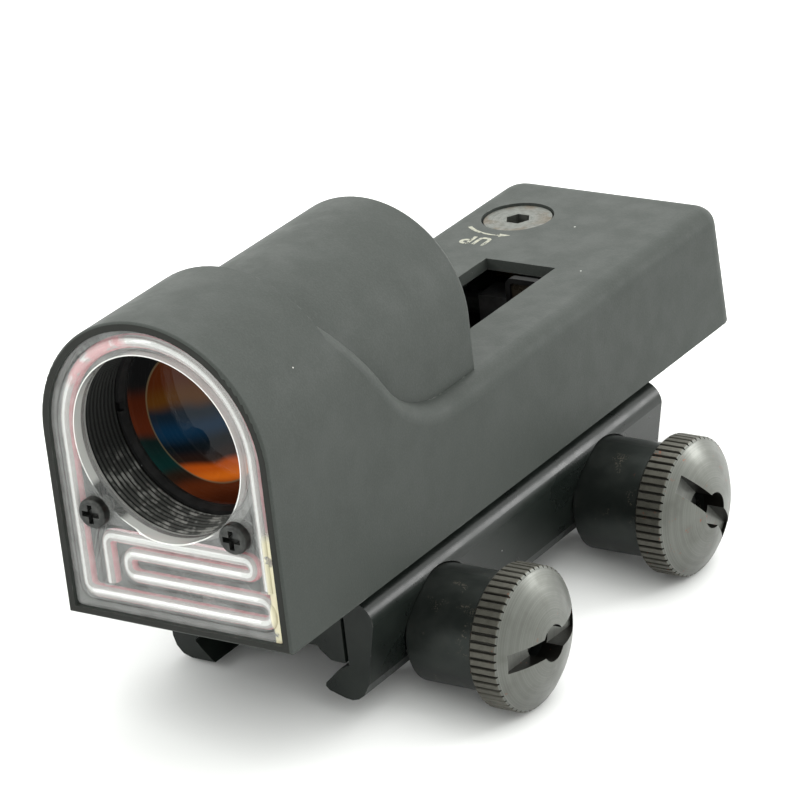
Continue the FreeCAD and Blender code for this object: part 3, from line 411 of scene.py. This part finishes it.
def clear_panel_finish():
    """Clear moulded plastic, slightly hazy, with old glue along its right edge and painted highlights on the
    wall of its round opening.
    """
    s = Surface("clear_panel_finish", IOR=1.49, Specular_IOR_Level=1.0, Coat_Weight=1.0)
    haze = s.noise(2.5, 3)
    base = s.mix(s.ramp(haze, 0.3, 0.7), (0.42, 0.43, 0.42, 1), (0.50, 0.51, 0.50, 1))
    base = s.mix(s.specks(2.6, 0.12, 0.25), base, (0.05, 0.045, 0.04, 1))
    level = s.math("SUBTRACT", s.part("Z"), BORE_AXIS[2])
    glue = s.both(s.ramp(s.part("X"), GLUE_EDGE, GLUE_EDGE + 0.3 * MM), s.ramp(s.noise(3.0, 3), 0.34, 0.42),
                  s.ramp(level, -8 * MM, -10 * MM))
    base = s.mix(glue, base, (0.66, 0.61, 0.40, 1))
    # painted highlight: the opening's wall near the panel's back is painted near white, and nearly opaque, in
    # two height bands
    bright = s.math("MAXIMUM", s.ramp(level, -7.0 * MM, -5.6 * MM), s.ramp(level, -9.4 * MM, -10.4 * MM))
    lip = s.both(s.math("LESS_THAN", s.radius_from("Y", BORE_AXIS), PANEL_LIP), bright,
                 s.ramp(s.part("Y"), PANEL_BACK - 0.4 * MM, PANEL_BACK - 0.8 * MM))
    s.to("Base Color", s.mix(lip, base, (0.78, 0.79, 0.76, 1)))
    clear = s.math("ADD", s.ramp(haze, 0.3, 0.7, 0.27, 0.34), s.both(glue, 0.5))
    s.to("Alpha", s.math("MAXIMUM", clear, s.both(lip, 0.8)))
    scuffs = s.noise(0.5, 3)
    s.to("Roughness", s.math("ADD", s.ramp(scuffs, 0.45, 0.75, 0.06, 0.12), s.both(glue, 0.4)))
    s.bump((s.noise(1.2, 2), 0.008))
    return s.material


def light_guide_finish():
    """Clear acrylic rod with a red tint."""
    s = Surface("light_guide_finish", IOR=1.49, Transmission_Weight=1.0)
    haze = s.noise(1.5, 3)
    s.to("Base Color", s.mix(s.ramp(haze, 0.3, 0.7), (0.95, 0.60, 0.55, 1), (0.90, 0.50, 0.46, 1)))
    s.to("Roughness", s.ramp(haze, 0.3, 0.7, 0.05, 0.15))
    return s.material


def backing_finish():
    """Silvery reflective film, a little creased and stained."""
    s = Surface("backing_finish", Metallic=0.15)
    crease = s.noise(3.0, 4)
    base = s.mix(s.ramp(crease, 0.35, 0.7), (0.34, 0.345, 0.33, 1), (0.39, 0.395, 0.38, 1))
    s.to("Base Color", s.mix(s.specks(3.0, 0.12, 0.3), base, grey(0.03)))
    s.to("Roughness", s.ramp(crease, 0.3, 0.7, 0.35, 0.5))
    s.bump((crease, 0.01))
    return s.material


def fibre_finish():
    """Fluorescent fibre, red along its flanks, with a painted highlight band where its normal faces one fixed
    direction.
    """
    s = Surface("fibre_finish", IOR=1.49, Emission_Strength=0.12)
    # painted highlight: white where the normal faces one fixed direction, grey around it, red on the flanks
    lit = s.facing((-0.06, -0.96, 0.27))
    red = s.mix(s.ramp(s.noise(1.5, 3), 0.3, 0.7), (0.62, 0.10, 0.14, 1), (0.78, 0.24, 0.27, 1))
    base = s.mix(s.ramp(lit, 0.52, 0.66), red, (0.42, 0.37, 0.36, 1))
    base = s.mix(s.ramp(lit, 0.91, 0.965), base, (0.94, 0.95, 0.93, 1))
    # a redder patch on the fibre, up and to the left of the bore, which glows with the emission
    near_red_patch = s.ramp(s.radius_from("Y", FIBRE_RED_PATCH_PLACE), 7.0 * MM, 4.5 * MM)
    red_patch = s.both(near_red_patch, s.ramp(s.noise(2.5, 3), 0.36, 0.5))
    base = s.mix(s.both(red_patch, 0.9), base, (0.80, 0.20, 0.24, 1))
    s.to("Base Color", base)
    # the emission makes the whole fibre glow, the painted highlight included
    s.to("Emission Color", base)
    s.to("Roughness", s.ramp(s.noise(0.8, 3), 0.3, 0.7, 0.2, 0.35))
    return s.material


LENS_GLASS = {"IOR": 1.52, "Transmission_Weight": 1.0, "Roughness": 0.0, "Specular_Tint": grey(0.12)}


def bands(s, source, stops):
    """Blend through (value, colour) stops along a source."""
    colour = stops[0][1]
    for (low, _), (high, tone) in zip(stops, stops[1:]):
        colour = s.mix(s.ramp(source, low * MM, high * MM), colour, tone)
    return colour


def coated_lens_painted_reflection_finish():
    """Glass with the mirror coating's orange, blue and teal reflections painted on as glowing bands, and a
    painted highlight ring at the coating's edge.
    """
    s = Surface("coated_lens_painted_reflection_finish", **LENS_GLASS)
    tint = s.ramp(s.noise(14, 1), 0.3, 0.7)
    s.to("Base Color", s.mix(tint, (0.012, 0.018, 0.020, 1), (0.022, 0.026, 0.020, 1)))
    height = s.math("SUBTRACT", s.part("Z"), BORE_AXIS[2])
    across = s.math("MULTIPLY", s.math("SUBTRACT", s.part("X"), BORE_AXIS[0]), 0.3)
    ripple = s.math("MULTIPLY", s.math("SUBTRACT", s.noise(6, 1), 0.5), 2.0 * MM)
    level = s.math("ADD", s.math("SUBTRACT", height, across), ripple)
    # painted reflection: coloured bands set by position, inside and outside the coating's edge
    inner = bands(s, level, [(-9.4, (0.30, 0.055, 0.008, 1)), (-8.0, (0.95, 0.20, 0.014, 1)),
                             (-6.4, (0.70, 0.12, 0.010, 1)), (-5.2, (0.030, 0.014, 0.010, 1)),
                             (-3.4, (0.006, 0.010, 0.014, 1)), (-1.2, (0.006, 0.038, 0.085, 1)),
                             (1.0, (0.010, 0.022, 0.036, 1)), (3.0, (0.13, 0.048, 0.008, 1)),
                             (6.0, (0.10, 0.022, 0.006, 1))])
    outer = bands(s, level, [(-11.5, (0.06, 0.012, 0.004, 1)), (-9.0, (0.13, 0.028, 0.008, 1)),
                             (-7.2, (0.030, 0.016, 0.010, 1)), (-5.4, (0.006, 0.034, 0.030, 1)),
                             (-2.2, (0.008, 0.020, 0.018, 1)), (-0.4, (0.11, 0.022, 0.008, 1)),
                             (3.4, (0.08, 0.016, 0.006, 1)), (6.0, (0.010, 0.010, 0.010, 1))])
    radius = s.radius_from("Y", BORE_AXIS)
    colour = s.mix(s.math("LESS_THAN", radius, COAT_EDGE), outer, inner)
    # painted highlight: a bright ring at the coating's edge; the painted colours glow through the emission
    rim = s.both(s.math("GREATER_THAN", radius, COAT_EDGE - 0.15 * MM),
                 s.math("LESS_THAN", radius, COAT_EDGE + 0.1 * MM))
    s.to("Emission Color", s.mix(s.both(rim, 0.6), colour, (0.20, 0.16, 0.09, 1)))
    s.to("Emission Strength", 0.45)
    return s.material


def clear_lens_finish():
    """Uncoated half of the cemented lens."""
    s = Surface("clear_lens_finish", **LENS_GLASS)
    s.to("Base Color", s.mix(s.ramp(s.noise(14, 1), 0.3, 0.7), (0.80, 0.86, 0.84, 1), (0.90, 0.92, 0.88, 1)))
    return s.material


def window_finish():
    s = Surface("window_finish", Specular_IOR_Level=0.3)
    patch = s.noise(1.5, 3)
    s.to("Base Color", s.mix(s.ramp(patch, 0.3, 0.7), (0.016, 0.013, 0.009, 1), (0.030, 0.024, 0.017, 1)))
    s.to("Roughness", s.ramp(patch, 0.3, 0.7, 0.2, 0.35))
    s.bump((s.noise(0.4, 2), 0.006))
    return s.material


def paint_nodes():
    housing = housing_finish()
    mount = mount_finish()
    screws = black_screw_finish()
    rubber = rubber_finish()
    spring_steel = steel_finish("spring_steel_finish", 0.45, 0.3)
    acetal = black_plastic_finish("acetal_finish", 0.045)
    ring = black_plastic_finish("ring_finish", 0.012, 0.3)
    finishes = {
        "main_housing": housing,
        "light_panel": clear_panel_finish(),
        "panel_backing": backing_finish(),
        "light_fibre": fibre_finish(),
        "fibre_lead": fibre_finish(),
        "fibre_clip": acetal,
        "panel_screws": screws,
        "lens_ring": ring,
        "reflector_lens": coated_lens_painted_reflection_finish(),
        "compensating_lens": clear_lens_finish(),
        "bottom_cover": mount,
        "cover_screws": screws,
        "elevation_screw": nickel_finish("elevation_finish", "Z", ADJUSTER_AXIS),
        "elevation_clip": spring_steel,
        "elevation_o_ring": rubber,
        "elevation_nut": brass_finish(),
        "windage_screw": nickel_finish("windage_finish", "X", WINDAGE_AXIS),
        "windage_clip": spring_steel,
        "windage_o_ring": rubber,
        "windage_saddle": acetal,
        "emitter_post": acetal,
        "emitter_bezel": black_plastic_finish("bezel_finish", 0.005, 0.5),
        "emitter_window": window_finish(),
        "light_guide": light_guide_finish(),
        "emitter_spring": spring_steel,
        "mount_base": mount,
        "mount_screws": screws,
        "clamp_bar": mount,
        "cross_bolts": screws,
        "thumb_nut_front": nut_finish("thumb_nut_front"),
        "thumb_nut_rear": nut_finish("thumb_nut_rear"),
    }
    for name, material in finishes.items():
        mesh = NODES[name].data
        mesh.materials.clear()
        mesh.materials.append(material)


paint_nodes()


# ---- painted mark beside the elevation adjuster -----------------------------------------
PAINT_THICK = 0.02 * MM
STROKE = 0.52 * MM
LETTER_TALL = 2.4 * MM
U_WIDE = 1.45 * MM
P_WIDE = 1.15 * MM
BOW = 0.55 * MM              # radius of the letters' round parts
LETTER_U = Vector((-7.7, 32.9)) * MM
LETTER_P = Vector((-9.95, 33.0)) * MM
ARROW_RADIUS = 6.75 * MM


def arc_points(centre, radius, start, end, steps=10):
    angles = [math.radians(start + (end - start) * step / steps) for step in range(steps + 1)]
    return [Vector((centre[0] + radius * math.cos(a), centre[1] + radius * math.sin(a))) for a in angles]


def letter_u():
    half = U_WIDE / 2
    bottom = -LETTER_TALL / 2 + BOW
    left = arc_points((-half + BOW, bottom), BOW, 180, 270)
    right = arc_points((half - BOW, bottom), BOW, 270, 360)
    return [[Vector((-half, LETTER_TALL / 2))] + left + right + [Vector((half, LETTER_TALL / 2))]]


def letter_p():
    half = P_WIDE / 2
    top = LETTER_TALL / 2
    bowl = arc_points((half - BOW, top - BOW), BOW, 90, -90)
    return [[Vector((-half, -top)), Vector((-half, top))],
            [Vector((-half, top))] + bowl + [Vector((-half, top - 2 * BOW))]]


def placed(strokes, centre):
    """Turn the letters so that they read from behind the sight."""
    return [[centre - point for point in stroke] for stroke in strokes]


def ribbon(shape, points, widths):
    """A flat strip on the deck along points, with a width at each point."""
    rails = []
    for index, point in enumerate(points):
        before = points[max(index - 1, 0)]
        after = points[min(index + 1, len(points) - 1)]
        along = (after - before).normalized()
        side = Vector((-along.y, along.x)) * widths[index] / 2
        level = DECK_TOP + PAINT_THICK
        rails.append([shape.verts.new((*(point + offset), level)) for offset in (side, -side)])
    for first, second in zip(rails, rails[1:]):
        shape.faces.new((first[0], first[1], second[1], second[0]))


def paint_finish():
    """Cream paint, worn through in places."""
    s = Surface("paint_finish", Roughness=0.6)
    wear = s.noise(0.6, 3)
    s.to("Base Color", s.mix(s.ramp(wear, 0.3, 0.6), (0.36, 0.35, 0.27, 1), (0.22, 0.22, 0.18, 1)))
    s.to("Alpha", s.ramp(wear, 0.58, 0.68, 1, 0.2))
    s.bump((s.noise(0.15, 2), 0.004))
    return s.material


def make_mark():
    shape = bmesh.new()
    for stroke in placed(letter_u(), LETTER_U) + placed(letter_p(), LETTER_P):
        ribbon(shape, stroke, [STROKE] * len(stroke))
    sweep = arc_points(ADJUSTER_AXIS, ARROW_RADIUS, -130, -79)
    ribbon(shape, sweep, [STROKE * (1.1 - 0.7 * index / len(sweep)) for index in range(len(sweep))])
    head = arc_points(ADJUSTER_AXIS, ARROW_RADIUS, -80, -67, 1)
    ribbon(shape, head, [STROKE * 2.2, STROKE * 0.1])
    mesh = bpy.data.meshes.new("adjuster_mark")
    shape.to_mesh(mesh)
    shape.free()
    mesh.materials.append(paint_finish())
    mark = bpy.data.objects.new("adjuster_mark", mesh)
    bpy.context.scene.collection.objects.link(mark)
    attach(mark, "housing")


make_mark()


# ---- floor and light -----------------------------------------------------------------
FLOOR_SIZE = 3.0
FLOOR_TOUCH = Vector((-12.4, 0, -5.59)) * MM
FLOOR_TILT = math.radians(8.6)
WORLD_BRIGHT_SIDE = Vector((-0.15, 0.7, 0.7))
WORLD_DIM = 0.7
WORLD_BRIGHT = 2.2


def make_floor():
    """The sight rests on its thumb nuts and its bolt heads, so the floor tilts."""
    mesh = bpy.data.meshes.new("floor")
    shape = bmesh.new()
    bmesh.ops.create_grid(shape, x_segments=1, y_segments=1, size=FLOOR_SIZE / 2)
    shape.to_mesh(mesh)
    shape.free()
    floor = bpy.data.objects.new("floor", mesh)
    floor.matrix_world = Matrix.Translation(FLOOR_TOUCH) @ Matrix.Rotation(FLOOR_TILT, 4, "Y")
    bpy.context.scene.collection.objects.link(floor)
    s = Surface("floor_finish", Roughness=0.7, Specular_IOR_Level=0.2)
    s.to("Base Color", s.mix(s.noise(60, 2), grey(0.80), grey(0.84)))
    mesh.materials.append(s.material)


def area_light(name, place, target, width, height, watts):
    data = bpy.data.lights.new(name, "AREA")
    data.shape = "RECTANGLE"
    data.size = width
    data.size_y = height
    data.energy = watts
    light = bpy.data.objects.new(name, data)
    aim = Vector(target) - Vector(place)
    light.matrix_world = Matrix.Translation(place) @ aim.to_track_quat("-Z", "Y").to_matrix().to_4x4()
    bpy.context.scene.collection.objects.link(light)


def make_lights():
    centre = (0.0, 0.0, 0.02)
    area_light("top_softbox", (0.0, 0.38, 0.70), centre, 0.9, 0.7, 3.0)
    area_light("front_strip", (-0.50, -0.66, 0.46), centre, 0.16, 0.50, 1.6)
    area_light("rear_strip", (0.54, 0.68, 0.27), centre, 0.20, 0.24, 2.2)


def make_world():
    """A white studio that is brighter above and behind the sight than in front of it."""
    world = bpy.data.worlds.new("studio")
    world.use_nodes = True
    tree = world.node_tree
    background = tree.nodes["Background"]
    background.inputs["Color"].default_value = (0.98, 1.0, 0.97, 1)
    towards = tree.nodes.new("ShaderNodeVectorMath")
    towards.operation = "DOT_PRODUCT"
    towards.inputs[1].default_value = WORLD_BRIGHT_SIDE.normalized()
    tree.links.new(tree.nodes.new("ShaderNodeTexCoord").outputs["Generated"], towards.inputs[0])
    strength = tree.nodes.new("ShaderNodeMapRange")
    for name, value in (("From Min", -1), ("From Max", 1), ("To Min", WORLD_DIM), ("To Max", WORLD_BRIGHT)):
        strength.inputs[name].default_value = value
    tree.links.new(towards.outputs["Value"], strength.inputs["Value"])
    tree.links.new(strength.outputs["Result"], background.inputs["Strength"])
    bpy.context.scene.world = world


make_floor()
make_lights()
make_world()
bpy.context.scene.view_settings.view_transform = "Standard"
